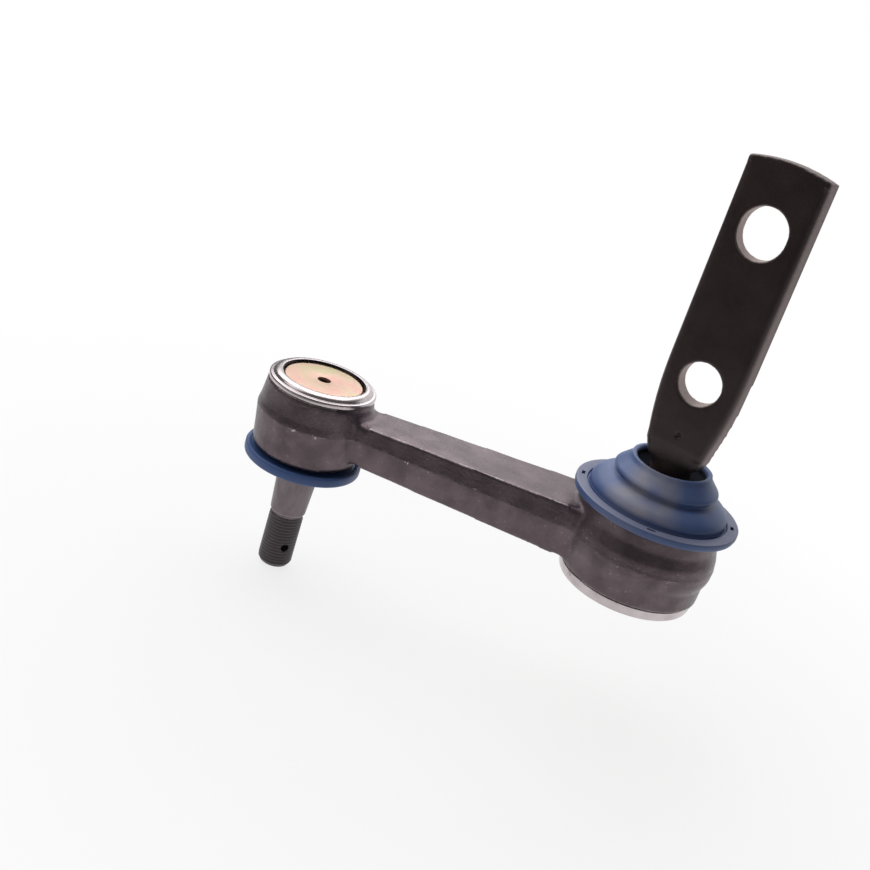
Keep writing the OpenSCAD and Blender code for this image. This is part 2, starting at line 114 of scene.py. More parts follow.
def stud_at(z):
    return Vector((STUD.x, STUD.y, z))


ALONG_ARM = (stud_at(0) - pivot_at(0)).normalized()


# Settings


def length(name, description, default, low=0.0, high=0.5):
    return FloatProperty(
        name=name, description=description, default=default, min=low, max=high,
        subtype="DISTANCE", unit="LENGTH", precision=5,
    )


def count(name, description, default, low, high):
    return IntProperty(name=name, description=description, default=default, min=low, max=high)


def colour(name, description, default):
    return FloatVectorProperty(
        name=name, description=description, default=srgb(default), min=0, max=1,
        size=4, subtype="COLOR",
    )


def srgb(code):
    """A linear colour with alpha from an sRGB hex code."""
    parts = [int(code[i:i + 2], 16) / 255 for i in (0, 2, 4)]
    return [p / 12.92 if p <= 0.04045 else ((p + 0.055) / 1.055) ** 2.4 for p in parts] + [1.0]


class ForgingSettings(bpy.types.PropertyGroup):
    grain: length("Grain", "Size of the forged skin's faces", 0.00062, 0.0004, 0.002)
    soften: count("Soften", "Passes that round every forged edge", 3, 0, 20)
    fillet: count("Fillet", "Passes that round the bar into its bosses", 26, 0, 200)
    seam_soften: count("Soften seam", "Passes that round the parting line's ridge", 8, 0, 60)
    fillet_reach: length("Fillet reach", "Run of a fillet out from a boss", 0.005, 0.001, 0.012)
    parting_z: length("Parting line", "Its height over the bar's middle", 0.002, -0.005, 0.005)
    flash: length("Flash", "How far the trimmed flash stands out", 0.00016, 0.0, 0.001)
    flash_width: length("Flash width", "Half width of the trimmed flash", 0.0007, 0.0003, 0.002)
    waviness: length("Waviness", "Height of the forged skin's gentle waves", 0.00008, 0.0, 0.0005)
    skin: colour("Skin", "Colour of the black oxide", "5f5257")
    # Bare steel of chips and rubbed edges, and also the colour of the painted highlight along the arm's
    # edges
    nick_and_highlight: colour("Nick", "Colour of the steel where the oxide is chipped", "b9b0ae")


class RimSettings(bpy.types.PropertyGroup):
    stud_height: length("Stud band", "Height of the stud cover's band", 0.0038, 0.001, 0.008)
    pivot_height: length("Pivot band", "Height of the pivot cover's band", 0.005, 0.001, 0.008)
    steel: colour("Steel", "Colour of the turned steel", "c9bfc1")
    plating: colour("Plating", "Colour of the covers' plating", "d1b3a0")
    plating_pink: colour("Pink", "Pink tinge of the plating", "d3aa9c")
    plating_green: colour("Green", "Green tinge of the plating", "c3b795")


class BracketSettings(bpy.types.PropertyGroup):
    grain: length("Grain", "Size of the forged skin's faces", 0.0005, 0.0004, 0.002)
    soften: count("Soften", "Passes that round every edge", 4, 0, 20)
    side_soften: count("Soften sides", "Passes that round the front's long edges", 26, 0, 80)
    mark_z: length("Mark height", "Height of the punch mark from the hole", -0.021, -0.04, 0.0)
    mark_r: length("Mark radius", "Radius of the punch mark", 0.0013, 0.0005, 0.003)
    mark_depth: length("Mark depth", "Depth of the punch mark", 0.0008, 0.0, 0.002)
    hole_r: length("Hole radius", "Radius of the lower bolt hole", 0.00815, 0.004, 0.01)
    slot_r: length("Slot radius", "Half width of the upper bolt slot", 0.00875, 0.004, 0.01)
    slot_run: length("Slot run", "Straight half length of the upper bolt slot", 0.00075, 0.0, 0.005)
    slot_z: length("Slot height", "Height of the upper bolt slot's middle", 0.0574, 0.0, 0.1)
    skin: colour("Skin", "Colour of the black oxide on the plate", "271d1d")
    # Painted reflection: the lighter grey of the drafted sides
    edge: colour("Edge", "Colour of the plate's drafted sides", "6b6160")
    # Also the colour of the painted highlight along the plate's edges
    bare: colour("Bare", "Colour of the bare cut steel", "827a77")


class BootSettings(bpy.types.PropertyGroup):
    segments: count("Segments", "Divisions round the boots", 120, 60, 180)
    vents: count("Vents", "Number of vent notches", 4, 0, 12)
    vent_depth: length("Vent depth", "Depth of a vent notch", 0.0023, 0.0, 0.003)
    neck_r: length("Neck radius", "Inner radius of the pivot boot's neck", 0.0139, 0.01, 0.02)
    lean: length("Lean", "How far the soft neck leans out of true", 0.0005, 0.0, 0.002)
    rubber: colour("Rubber", "Colour of the blue boots", "3d5b92")
    # Dust and a painted sheen: the pale colour laid on the boots where a highlight would fall
    dust_and_sheen: colour("Bloom", "Colour of the boots' dusty bloom", "8f8c97")
    # Painted shade: the near black laid inside the pivot boot's neck
    neck_shade: colour("Dirt", "Colour of the dirt inside the neck", "14161f")


class StudSettings(bpy.types.PropertyGroup):
    pitch: length("Pitch", "Pitch of the thread", 0.00141, 0.0005, 0.003)
    thread_r: length("Thread radius", "Outer radius of the thread", 0.007145, 0.004, 0.01)
    thread_length: length("Thread length", "Length of the threaded end", 0.0242, 0.01, 0.04)
    neck_r: length("Neck radius", "Radius of the stud's neck", 0.0089, 0.005, 0.012)
    ball_r: length("Ball radius", "Radius of the ball", 0.0143, 0.01, 0.02)
    cross_hole_r: length("Cross hole", "Radius of the hole in the thread", 0.0017, 0.0005, 0.003)
    cross_hole_rise: length("Cross hole rise", "Its height over the tip", 0.0106, 0.004, 0.02)
    cross_hole_turn: FloatProperty(
        name="Cross hole turn", description="Direction of that hole in plan, from +X",
        default=math.radians(-31), subtype="ANGLE", unit="ROTATION",
    )
    taper: colour("Taper", "Colour of the ground taper", "7f7477")
    thread: colour("Thread", "Colour of the dark threaded end", "4d4447")


class StageSettings(bpy.types.PropertyGroup):
    eye: FloatVectorProperty(
        name="Eye", description="Where the camera stands",
        default=(0.10344, -0.41946, 0.11682), subtype="TRANSLATION", unit="LENGTH",
    )
    aim: FloatVectorProperty(
        name="Aim", description="Point in the middle of the picture",
        default=(-0.06946, -0.06010, -0.04402), subtype="TRANSLATION", unit="LENGTH",
    )
    roll: FloatProperty(
        name="Roll", description="Turn of the camera about its own axis",
        default=math.radians(18.14), subtype="ANGLE", unit="ROTATION",
    )
    lens: FloatProperty(
        name="Lens", description="Focal length for a picture on a 36 mm sensor",
        default=49.23, min=10, max=200, subtype="DISTANCE_CAMERA", unit="CAMERA",
    )
    sheet_front: length("Sheet front", "The paper's reach in front of the pivot", 0.33, 0.05, 2)
    sheet_back: length("Sheet back", "The paper's reach behind the pivot", 0.75, 0.05, 2)
    sheet_left: length("Sheet left", "The paper's reach to the pivot's left", 0.55, 0.05, 2)
    sheet_right: length("Sheet right", "The paper's reach to the pivot's right", 0.80, 0.05, 2)
    sheet_rise: length("Sheet rise", "Height of the paper behind the arm", 0.75, 0.05, 2)
    room: FloatProperty(
        name="Room", description="Brightness of the room", default=0.14, min=0, max=2,
    )
    box_power: FloatProperty(
        name="Soft box", description="Power of the soft box in watts", default=4.2, min=0, max=100,
    )
    fill_power: FloatProperty(
        name="Fill", description="Power of the front fill in watts", default=0.9, min=0, max=100,
    )


# Outlines


def softened(corners, steps=4):
    """A closed outline of (radius, height) corners in mm. A third number rounds a corner off, from
    so far away on either side."""
    outline = []
    total = len(corners)
    for i, corner in enumerate(corners):
        here = Vector(corner[:2])
        if len(corner) < 3:
            outline.append(here)
            continue
        before, after = Vector(corners[i - 1][:2]), Vector(corners[(i + 1) % total][:2])
        start = here + (before - here).normalized() * corner[2]
        end = here + (after - here).normalized() * corner[2]
        for s in range(steps + 1):
            t = s / steps
            outline.append(start.lerp(here, t).lerp(here.lerp(end, t), t))
    return outline


def flowing(points, steps=4):
    """A smooth line through (radius, height) points in mm."""
    points = [Vector(p) for p in points]
    line = []
    for i in range(len(points) - 1):
        a, b = points[max(i - 1, 0)], points[i]
        c, d = points[i + 1], points[min(i + 2, len(points) - 1)]
        for s in range(steps):
            t = s / steps
            line.append(0.5 * (2 * b + (c - a) * t + (2 * a - 5 * b + 4 * c - d) * t ** 2
                               + (3 * b - a - 3 * c + d) * t ** 3))
    return line + [points[-1]]


def beside(line, distance):
    """The points of a line moved sideways, to the right of its direction."""
    moved = []
    for i, point in enumerate(line):
        run = line[min(i + 1, len(line) - 1)] - line[max(i - 1, 0)]
        moved.append(point + Vector((run.y, -run.x)).normalized() * distance)
    return moved


# Meshes


def turned(outline, base, steps=96):
    """A solid turned about the upright axis through base. Its outline is in mm over base, and is
    closed unless both of its ends lie on the axis."""
    bm = bmesh.new()
    verts = [bm.verts.new((p[0] * MM, 0, p[1] * MM)) for p in outline]
    ends = list(zip(verts, verts[1:]))
    if outline[0][0] > 0:
        ends.append((verts[-1], verts[0]))
    edges = [bm.edges.new(pair) for pair in ends]
    bmesh.ops.spin(
        bm, geom=verts + edges, cent=(0, 0, 0), axis=(0, 0, 1), angle=math.tau, steps=steps,
        use_merge=True,
    )
    bmesh.ops.remove_doubles(bm, verts=bm.verts, dist=WELD)
    bmesh.ops.recalc_face_normals(bm, faces=bm.faces)
    bmesh.ops.translate(bm, verts=bm.verts, vec=base)
    return bm


def as_mesh(bm, name):
    """The mesh that a bmesh turns into. The bmesh itself is freed."""
    mesh = bpy.data.meshes.new(name)
    bm.to_mesh(mesh)
    bm.free()
    return mesh


def add_object(name, data):
    made = bpy.data.objects.new(name, data)
    bpy.context.scene.collection.objects.link(made)
    return made


def merged_copy(node):
    """A CAD node's mesh as a bmesh, with its loose triangles joined."""
    bm = bmesh.new()
    bm.from_mesh(frame["nodes"][node].data)
    bmesh.ops.remove_doubles(bm, verts=bm.verts, dist=WELD)
    return bm


def through_modifiers(bm, name, add_modifiers):
    """A bmesh as it comes out of the modifiers that add_modifiers puts on it."""
    mesh = as_mesh(bm, name)
    blank = add_object(name, mesh)
    add_modifiers(blank)
    evaluated = blank.evaluated_get(bpy.context.evaluated_depsgraph_get())
    made = bmesh.new()
    made.from_mesh(evaluated.to_mesh())
    evaluated.to_mesh_clear()
    bpy.data.objects.remove(blank)
    bpy.data.meshes.remove(mesh)
    return made


def forged_skin(bm, name, grain, soften):
    """A solid rebuilt in even faces of one grain, its edges rounded as a hammered forging's are."""

    def even_grain(blank):
        remesh = blank.modifiers.new("Grain", "REMESH")
        remesh.mode = "VOXEL"
        remesh.voxel_size = grain
        remesh.adaptivity = 0

    bm = through_modifiers(bm, name, even_grain)
    relax(bm, bm.verts, soften)
    return bm


def note_wear_and_highlight(bm):
    """Stores on each vertex how far it stands over its neighbours, so that a finish can be rubbed through on
    the rounded edges and a painted highlight can run along them."""
    wear_and_highlight = bm.verts.layers.float.new("wear_and_highlight")
    bm.normal_update()
    for vert in bm.verts:
        around = [edge.other_vert(vert).co for edge in vert.link_edges]
        mean = sum(around, Vector()) / len(around)
        step = sum((co - vert.co).length for co in around) / len(around)
        vert[wear_and_highlight] = max((vert.co - mean).dot(vert.normal) / step, 0.0)


def note_gap(bm, in_gap):
    """Stores on each vertex whether it lies in a recess, a hole or a dent, where a finish paints shade
    because light doesn't reach."""
    gap = bm.verts.layers.float.new("gap")
    for vert in bm.verts:
        vert[gap] = float(in_gap(vert.co))


def relax(bm, verts, passes):
    """Moves vertices towards the middle of their neighbours, which rounds what they are part of."""
    verts = list(verts)
    for _ in range(passes):
        bmesh.ops.smooth_vert(
            bm, verts=verts, factor=0.5, use_axis_x=True, use_axis_y=True, use_axis_z=True,
        )


def add_piece(bm, name, material, nodes, sharp=38):
    """Makes a piece of a bmesh. Its edges past the sharp angle, in degrees, stay crisp."""
    for face in bm.faces:
        face.smooth = True
    for edge in bm.edges:
        edge.smooth = edge.calc_face_angle(math.pi) < math.radians(sharp)
    mesh = as_mesh(bm, name)
    piece = add_object(name, mesh)
    mesh.materials.append(material)
    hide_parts(*nodes)
    return piece


# Materials


def add_node(tree, kind, inputs=None, **settings):
    """Adds a shader node with its own settings. An input takes a value, a socket, or a node whose
    first output in use is linked to it. Map Range's inputs 1 to 4 are the ends of its ranges, from
    and to, and a colour Mix has its colours at 6 and 7."""
    made = tree.nodes.new("ShaderNode" + kind)
    for key, value in settings.items():
        setattr(made, key, value)
    for key, value in (inputs or {}).items():
        if isinstance(value, bpy.types.Node):
            value = next(socket for socket in value.outputs if socket.enabled)
        if isinstance(value, bpy.types.NodeSocket):
            tree.links.new(value, made.inputs[key])
        else:
            made.inputs[key].default_value = value
    return made


def new_material(name):
    """A material with an empty tree, its tree and its Object coordinates."""
    material = bpy.data.materials.new(name)
    material.use_nodes = True
    tree = material.node_tree
    tree.nodes.clear()
    return material, tree, add_node(tree, "TexCoord").outputs["Object"]


def shade(tone, share):
    """A colour made darker or lighter."""
    return [c * share for c in tone[:3]] + [1.0]


def radius_about(tree, coords, axis):
    """How far a point lies from the upright axis through a place."""
    flat = add_node(
        tree, "VectorMath", {0: coords, 1: (1, 1, 0), 2: (-axis.x, -axis.y, 0)},
        operation="MULTIPLY_ADD",
    )
    return add_node(tree, "VectorMath", {0: flat}, operation="LENGTH")


def bore_wall(tree, coords, height, radius, run):
    """Where a bolt hole's wall is, from 0 to 1. A slot's wall lies round a straight line, which
    runs so far up and down from its middle."""
    flat = add_node(
        tree, "VectorMath", {0: coords, 1: (1, 0, 1), 2: (0, 0, -height)},
        operation="MULTIPLY_ADD",
    )
    folded = add_node(tree, "VectorMath", {0: flat}, operation="ABSOLUTE")
    past = add_node(tree, "VectorMath", {0: folded, 1: (0, 0, run)}, operation="SUBTRACT")
    past = add_node(tree, "VectorMath", {0: past, 1: (0, 0, 0)}, operation="MAXIMUM")
    away = add_node(tree, "VectorMath", {0: past}, operation="LENGTH")
    near, far = radius + 0.2 * MM, radius + 0.4 * MM
    return add_node(tree, "MapRange", {0: away, 1: near, 2: far, 3: 1, 4: 0})


def worn_and_highlit_edges(tree, coords, blunt, keen):
    """Where edges between a blunt one and a keen one are painted bright: thinly all along them, as a painted
    highlight on their small radius, and well in patches 5 mm long, where the oxide is rubbed through."""
    wear_and_highlight = add_node(tree, "Attribute", attribute_name="wear_and_highlight").outputs["Fac"]
    edge = add_node(tree, "MapRange", {0: wear_and_highlight, 1: blunt, 2: keen})
    patches = add_node(
        tree, "TexNoise", {"Vector": coords, "Scale": 1 / (5 * MM), "Detail": 4, "Roughness": 0.65}
    )
    share = add_node(tree, "MapRange", {0: patches, 1: 0.42, 2: 0.66, 3: 0.22, 4: 0.9})
    return add_node(tree, "Math", {0: edge, 1: share}, operation="MULTIPLY")


def black_oxide_forging(s):
    """Hot-forged steel under black oxide: a hard, dark satin skin with a brown-violet tone, scale pits a
    millimetre wide, pale chips on its edges and where the trimmed flash has been knocked, and a thin painted
    highlight along its edges."""
    material, tree, coords = new_material("black_oxide_forging")
    clouds = add_node(tree, "TexNoise", {"Vector": coords, "Scale": 1 / (9 * MM), "Detail": 4})
    pits = add_node(
        tree, "TexNoise", {"Vector": coords, "Scale": 1 / (1.1 * MM), "Detail": 5, "Roughness": 0.7}
    )
    specks = add_node(
        tree, "TexNoise", {"Vector": coords, "Scale": 1 / (1.4 * MM), "Detail": 3, "Roughness": 0.6}
    )
    chips = add_node(
        tree, "TexNoise",
        {"Vector": coords, "Scale": 1 / (3.2 * MM), "Detail": 4, "Roughness": 0.65},
    )
    cloud = add_node(tree, "MapRange", {0: clouds, 1: 0.35, 2: 0.68})
    dark, light = shade(s.skin, 0.8), shade(s.skin, 1.35)
    tone = add_node(tree, "Mix", {0: cloud, 6: dark, 7: light}, data_type="RGBA")
    speck = add_node(tree, "MapRange", {0: specks, 1: 0.64, 2: 0.74, 4: 0.5})
    speck = add_node(tree, "Math", {0: speck, 1: cloud}, operation="MULTIPLY")
    tone = add_node(tree, "Mix", {0: speck, 6: tone, 7: s.nick_and_highlight}, data_type="RGBA")
    height = add_node(tree, "SeparateXYZ", {0: coords}).outputs["Z"]
    rise = add_node(tree, "Math", {0: height, 1: parting_height(s)}, operation="SUBTRACT")
    rise = add_node(tree, "Math", {0: rise}, operation="ABSOLUTE")
    near, far = 0.4 * s.flash_width, 1.6 * s.flash_width
    seam = add_node(tree, "MapRange", {0: rise, 1: near, 2: far, 3: 1, 4: 0})
    chip = add_node(tree, "MapRange", {0: chips, 1: 0.64, 2: 0.69})
    chipped = add_node(tree, "Math", {0: seam, 1: chip}, operation="MULTIPLY")
    # Painted highlight and real rubbing: a thin bright line along every edge, with rubbed-through patches
    rubbed = worn_and_highlit_edges(tree, coords, 0.06, 0.13)
    bare = add_node(tree, "Math", {0: chipped, 1: rubbed}, operation="MAXIMUM")
    skin = add_node(tree, "BsdfPrincipled", {
        "Base Color": add_node(tree, "Mix", {0: bare, 6: tone, 7: s.nick_and_highlight}, data_type="RGBA"),
        "Metallic": add_node(tree, "MapRange", {0: bare, 3: 0.8, 4: 0.9}),
        "Roughness": add_node(tree, "MapRange", {0: pits, 1: 0.3, 2: 0.7, 3: 0.27, 4: 0.41}),
        "Specular IOR Level": 1.0,
        "Normal": add_node(tree, "Bump", {"Height": pits, "Distance": 0.14 * MM}),
    })
    add_node(tree, "OutputMaterial", {"Surface": skin})
    return material


def black_oxide_plate(s):
    """The bracket's plate under black oxide: smoother and darker than the arm, with its drafted sides
    painted a lighter grey as a painted reflection, edges painted bright, partly rubbed and partly as a
    painted highlight, a punch mark painted dark as painted shade, and bare steel walls in the punched holes."""
    material, tree, coords = new_material("black_oxide_plate")
    clouds = add_node(tree, "TexNoise", {"Vector": coords, "Scale": 1 / (12 * MM), "Detail": 4})
    pits = add_node(
        tree, "TexNoise",
        {"Vector": coords, "Scale": 1 / (0.9 * MM), "Detail": 4, "Roughness": 0.65},
    )
    cloud = add_node(tree, "MapRange", {0: clouds, 1: 0.35, 2: 0.7})
    tone = add_node(tree, "Mix", {0: cloud, 6: s.skin, 7: shade(s.skin, 1.9)}, data_type="RGBA")
    # Painted reflection: from just behind the front plane to 4.5 mm back, the drafted sides are painted a
    # lighter grey, as if catching light from the side, and they fade out again towards the back
    depth = add_node(tree, "SeparateXYZ", {0: coords}).outputs["Y"]
    near, far = PLATE_FRONT_Y + 0.6 * MM, PLATE_FRONT_Y + 4.5 * MM
    side = add_node(tree, "MapRange", {0: depth, 1: near, 2: far})
    back = add_node(tree, "MapRange", {0: depth, 1: -1.4 * MM, 2: -0.4 * MM, 3: 1, 4: 0})
    side = add_node(tree, "Math", {0: side, 1: back}, operation="MULTIPLY")
    tone = add_node(tree, "Mix", {0: side, 6: tone, 7: s.edge}, data_type="RGBA")
    side_metallic = add_node(tree, "MapRange", {0: side, 3: 0.15, 4: 0.6})
    # Painted shade: the punch mark's dent is painted near black, as shade fills it
    mark = add_node(tree, "Attribute", attribute_name="gap").outputs["Fac"]
    tone = add_node(tree, "Mix", {0: mark, 6: tone, 7: shade(s.skin, 0.2)}, data_type="RGBA")
    hole = bore_wall(tree, coords, 0.0, s.hole_r, 0.0)
    slot = bore_wall(tree, coords, s.slot_z, s.slot_r, s.slot_run)
    walls = add_node(tree, "Math", {0: hole, 1: slot}, operation="MAXIMUM")
    # Painted highlight and real rubbing: a thin bright line along every edge, with rubbed-through patches
    rubbed = worn_and_highlit_edges(tree, coords, 0.05, 0.11)
    bare = add_node(tree, "Math", {0: walls, 1: rubbed}, operation="MAXIMUM")
    skin = add_node(tree, "BsdfPrincipled", {
        "Base Color": add_node(tree, "Mix", {0: bare, 6: tone, 7: s.bare}, data_type="RGBA"),
        "Metallic": add_node(tree, "MapRange", {0: bare, 3: side_metallic, 4: 0.8}),
        "Roughness": add_node(tree, "MapRange", {0: pits, 1: 0.3, 2: 0.7, 3: 0.34, 4: 0.46}),
        "Specular IOR Level": 0.6,
        "Specular Tint": (1.0, 0.86, 0.84, 1.0),
        "Normal": add_node(tree, "Bump", {"Height": pits, "Distance": 0.05 * MM}),
    })
    add_node(tree, "OutputMaterial", {"Surface": skin})
    return material


def turned_steel(s, centre, mouth, name):
    """Bare steel turned on a lathe and rolled over: bright and smooth, with faint tool rings 0.25 mm apart,
    and painted near black as painted shade in the narrow clearance that its mouth, a radius in mm, leaves
    round the cover."""
    material, tree, coords = new_material(name)
    smudges = add_node(tree, "TexNoise", {"Vector": coords, "Scale": 1 / (6 * MM)})
    smudge = add_node(tree, "MapRange", {0: smudges, 1: 0.35, 2: 0.7})
    height = add_node(tree, "SeparateXYZ", {0: coords}).outputs["Z"]
    radius = radius_about(tree, coords, centre)
    along = add_node(tree, "Math", {0: radius, 1: height}, operation="ADD")
    turns = add_node(tree, "Math", {0: along, 1: math.tau / (0.25 * MM)}, operation="MULTIPLY")
    rings = add_node(tree, "Math", {0: turns}, operation="SINE")
    # Painted shade: the steel turns near black at its mouth, in the shaded clearance round the cover
    near, far = mouth * MM, (mouth + 0.25) * MM
    gap = add_node(tree, "MapRange", {0: radius, 1: near, 2: far, 3: 1, 4: 0})
    tone = add_node(
        tree, "Mix", {0: smudge, 6: s.steel, 7: shade(s.steel, 0.85)}, data_type="RGBA"
    )
    tone = add_node(tree, "Mix", {0: gap, 6: tone, 7: shade(s.steel, 0.05)}, data_type="RGBA")
    skin = add_node(tree, "BsdfPrincipled", {
        "Base Color": tone,
        "Metallic": 1.0,
        "Roughness": add_node(tree, "MapRange", {0: smudges, 1: 0.3, 2: 0.7, 3: 0.20, 4: 0.30}),
        "Normal": add_node(tree, "Bump", {"Height": rings, "Distance": 0.0015 * MM}),
    })
    add_node(tree, "OutputMaterial", {"Surface": skin})
    return material


def yellow_zinc(s):
    """Yellow zinc plating on pressed steel: a pale gold satin that drifts from pink to green, and painted
    near black as painted shade in the sunken ring round its edge and in its hole."""
    material, tree, coords = new_material("yellow_zinc_plating")
    drift = add_node(tree, "TexNoise", {"Vector": coords, "Scale": 1 / (11 * MM)})
    specks = add_node(
        tree, "TexNoise", {"Vector": coords, "Scale": 1 / (1.2 * MM), "Detail": 4, "Roughness": 0.7}
    )
    pink = add_node(tree, "MapRange", {0: drift, 1: 0.38, 2: 0.52, 3: 1, 4: 0})
    green = add_node(tree, "MapRange", {0: drift, 1: 0.52, 2: 0.68})
    tone = add_node(tree, "Mix", {0: pink, 6: s.plating, 7: s.plating_pink}, data_type="RGBA")
    tone = add_node(tree, "Mix", {0: green, 6: tone, 7: s.plating_green}, data_type="RGBA")
    gap = add_node(tree, "Attribute", attribute_name="gap").outputs["Fac"]
    # Painted shade: the plating is painted near black in its sunken ring and its hole
    tone = add_node(tree, "Mix", {0: gap, 6: tone, 7: shade(s.plating, 0.06)}, data_type="RGBA")
    skin = add_node(tree, "BsdfPrincipled", {
        "Base Color": tone,
        "Metallic": 0.75,
        "Roughness": add_node(tree, "MapRange", {0: specks, 1: 0.3, 2: 0.7, 3: 0.38, 4: 0.52}),
        "Normal": add_node(tree, "Bump", {"Height": specks, "Distance": 0.03 * MM}),
    })
    add_node(tree, "OutputMaterial", {"Surface": skin})
    return material


def blue_rubber(s):
    """Moulded blue polyurethane: a soft satin with clouds of dust and a painted sheen, laid thickest on the
    side that faces the front and on the flange's flat top, and painted shade, near black, inside the neck."""
    front = (0.03, -1.0, 0)
    material, tree, coords = new_material("blue_polyurethane")
    clouds = add_node(tree, "TexNoise", {"Vector": coords, "Scale": 1 / (14 * MM)})
    grain = add_node(
        tree, "TexNoise", {"Vector": coords, "Scale": 1 / (0.8 * MM), "Roughness": 0.6}
    )
    height = add_node(tree, "SeparateXYZ", {0: coords}).outputs["Z"]
    cloudy = add_node(tree, "MapRange", {0: clouds, 1: 0.34, 2: 0.66, 3: 0.35, 4: 1.0})
    radius = radius_about(tree, coords, PIVOT)
    # Painted sheen: the pale colour is laid thickest on the side facing the front, standing in for the
    # lamps' highlight
    ahead = add_node(tree, "VectorMath", {0: coords, 1: front}, operation="DOT_PRODUCT")
    ahead = add_node(tree, "Math", {0: ahead, 1: radius}, operation="DIVIDE")
    sheen_in_front = add_node(tree, "MapRange", {0: ahead, 1: 0.80, 2: 0.98, 3: 0.2, 4: 1.0})
    dust_and_sheen_mask = add_node(tree, "Math", {0: cloudy, 1: sheen_in_front}, operation="MULTIPLY")
    rise = add_node(tree, "Math", {0: height, 1: BOOT_FLANGE_TOP_Z}, operation="SUBTRACT")
    on_cone = add_node(tree, "MapRange", {0: rise, 1: 0.6 * MM, 2: 2.4 * MM, 3: 0.3, 4: 1})
    dust_and_sheen_mask = add_node(tree, "Math", {0: dust_and_sheen_mask, 1: on_cone}, operation="MULTIPLY")
    rise = add_node(tree, "Math", {0: rise}, operation="ABSOLUTE")
    # Painted sheen: a pale band laid over the flange's flat top
    on_flange = add_node(tree, "MapRange", {0: rise, 1: 0.1 * MM, 2: 0.4 * MM, 3: 0.6, 4: 0})
    dust_and_sheen_mask = add_node(tree, "Math", {0: dust_and_sheen_mask, 1: on_flange}, operation="MAXIMUM")
    # Painted shade: inside the neck the rubber is painted near black, where shade falls deep in the boot
    near, far = s.neck_r - 0.4 * MM, s.neck_r
    neck = add_node(tree, "MapRange", {0: radius, 1: near, 2: far, 3: 1, 4: 0})
    near, far = BOOT_TOP_Z - 10 * MM, BOOT_TOP_Z - 9 * MM
    top = add_node(tree, "MapRange", {0: height, 1: near, 2: far})
    inside = add_node(tree, "Math", {0: neck, 1: top}, operation="MULTIPLY")
    tone = add_node(tree, "Mix", {0: dust_and_sheen_mask, 6: s.rubber, 7: s.dust_and_sheen}, data_type="RGBA")
    satin = add_node(tree, "MapRange", {0: clouds, 1: 0.3, 2: 0.7, 3: 0.36, 4: 0.50})
    skin = add_node(tree, "BsdfPrincipled", {
        "Base Color": add_node(tree, "Mix", {0: inside, 6: tone, 7: s.neck_shade}, data_type="RGBA"),
        "Roughness": add_node(tree, "MapRange", {0: inside, 3: satin, 4: 0.9}),
        "Specular IOR Level": add_node(tree, "MapRange", {0: inside, 3: 0.5, 4: 0.1}),
        "Normal": add_node(tree, "Bump", {"Height": grain, "Distance": 0.02 * MM}),
    })
    add_node(tree, "OutputMaterial", {"Surface": skin})
    return material


def stud_steel(s):
    """Ground steel: satin with upright smudges on the taper, rubbed bright on the step under it,
    and dark with oil on the rolled thread."""
    material, tree, coords = new_material("ground_stud_steel")
    height = add_node(tree, "SeparateXYZ", {0: coords}).outputs["Z"]
    thread_top = STUD_TIP_Z + s.thread_length
    near, far = thread_top - 0.8 * MM, thread_top + 0.2 * MM
    above = add_node(tree, "MapRange", {0: height, 1: near, 2: far})
    drawn = add_node(tree, "VectorMath", {0: coords, 1: (1, 1, 0.35)}, operation="MULTIPLY")
    smudges = add_node(
        tree, "TexNoise", {"Vector": drawn, "Scale": 1 / (3 * MM), "Detail": 4, "Roughness": 0.65}
    )
    oily = add_node(tree, "MapRange", {0: smudges, 1: 0.4, 2: 0.72, 4: 0.42})
    tone = add_node(tree, "Mix", {0: above, 6: s.thread, 7: s.taper}, data_type="RGBA")
    step = add_node(tree, "Math", {0: height, 1: thread_top + 1.1 * MM}, operation="SUBTRACT")
    step = add_node(tree, "Math", {0: step}, operation="ABSOLUTE")
    band = add_node(tree, "MapRange", {0: step, 1: 0.3 * MM, 2: 0.9 * MM, 3: 0.7, 4: 0})
    tone = add_node(tree, "Mix", {0: band, 6: tone, 7: shade(s.taper, 2.2)}, data_type="RGBA")
    skin = add_node(tree, "BsdfPrincipled", {
        "Base Color": add_node(tree, "Mix", {0: oily, 6: tone, 7: s.thread}, data_type="RGBA"),
        "Metallic": add_node(tree, "MapRange", {0: above, 3: 0.3, 4: 0.7}),
        "Roughness": add_node(tree, "MapRange", {0: smudges, 1: 0.3, 2: 0.7, 3: 0.36, 4: 0.48}),
    })
    add_node(tree, "OutputMaterial", {"Surface": skin})
    return material


def plain_metal(name, code, roughness, grain):
    """An inner piece's metal, with a faint cloud of its own grain."""
    material, tree, coords = new_material(name)
    clouds = add_node(tree, "TexNoise", {"Vector": coords, "Scale": 1 / grain})
    cloud = add_node(tree, "MapRange", {0: clouds, 1: 0.35, 2: 0.7})
    base = srgb(code)
    tone = add_node(tree, "Mix", {0: cloud, 6: base, 7: shade(base, 0.8)}, data_type="RGBA")
    skin = add_node(tree, "BsdfPrincipled", {
        "Base Color": tone,
        "Metallic": 1.0,
        "Roughness": add_node(tree, "MapRange", {0: cloud, 3: roughness, 4: roughness + 0.12}),
    })
    add_node(tree, "OutputMaterial", {"Surface": skin})
    return material


